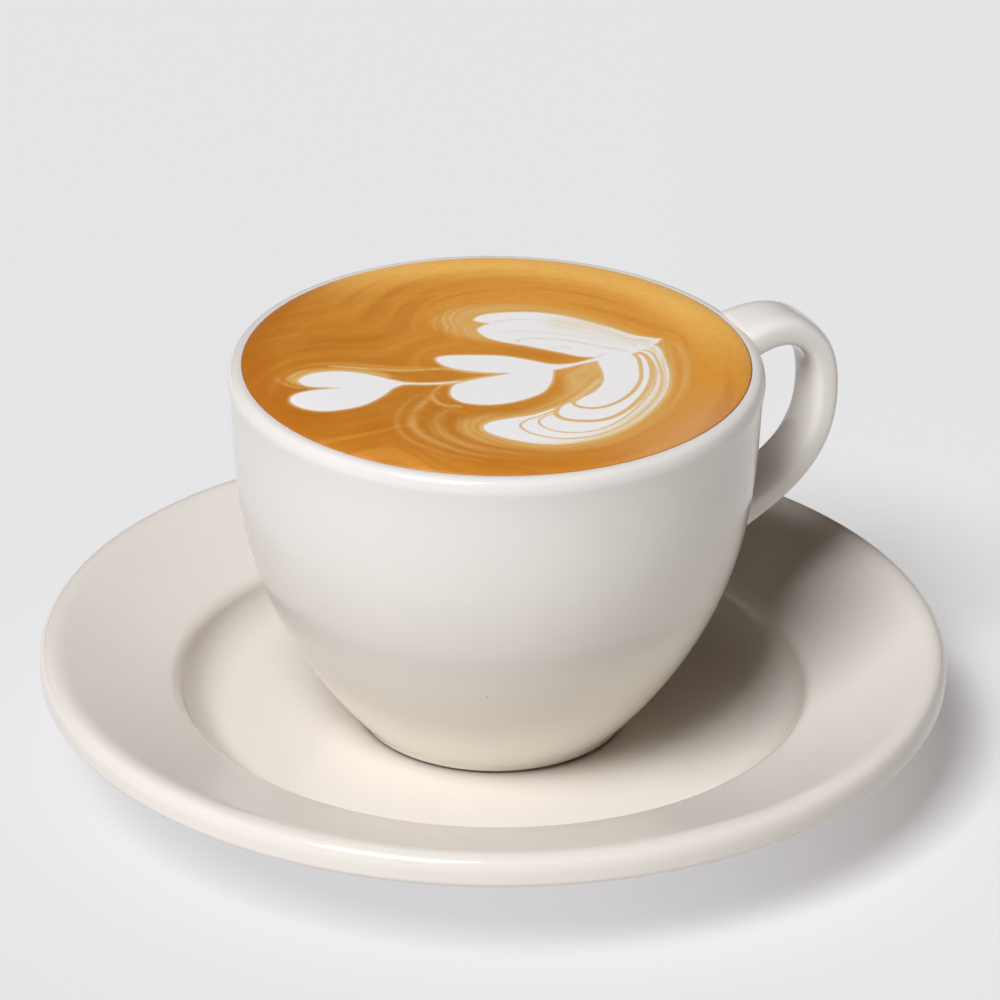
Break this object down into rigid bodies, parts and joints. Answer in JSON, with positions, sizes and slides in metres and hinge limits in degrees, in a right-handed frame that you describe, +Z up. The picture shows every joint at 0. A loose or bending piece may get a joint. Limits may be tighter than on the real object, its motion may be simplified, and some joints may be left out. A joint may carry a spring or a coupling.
{
  "type": "latte",
  "caption": "Brimful latte in a rounded ceramic cup with an ear handle, standing on its wide-rimmed saucer.",
  "frame": {"origin": "on the table, at the centre of the saucer's foot", "axes": "+Z up along the axis of the saucer and cup; +X towards the cup's handle"},
  "size_m": [0.156, 0.156, 0.075],
  "materials": {
    "saucer_glaze": "smooth ivory glaze",
    "cup_glaze": "smooth ivory glaze",
    "latte_foam": "wet golden-brown crema with white milk foam"
  },
  "bodies": {
    "root": {"saucer": "saucer_glaze", "cup": "cup_glaze", "latte": "latte_foam"}
  },
  "joints": []
}
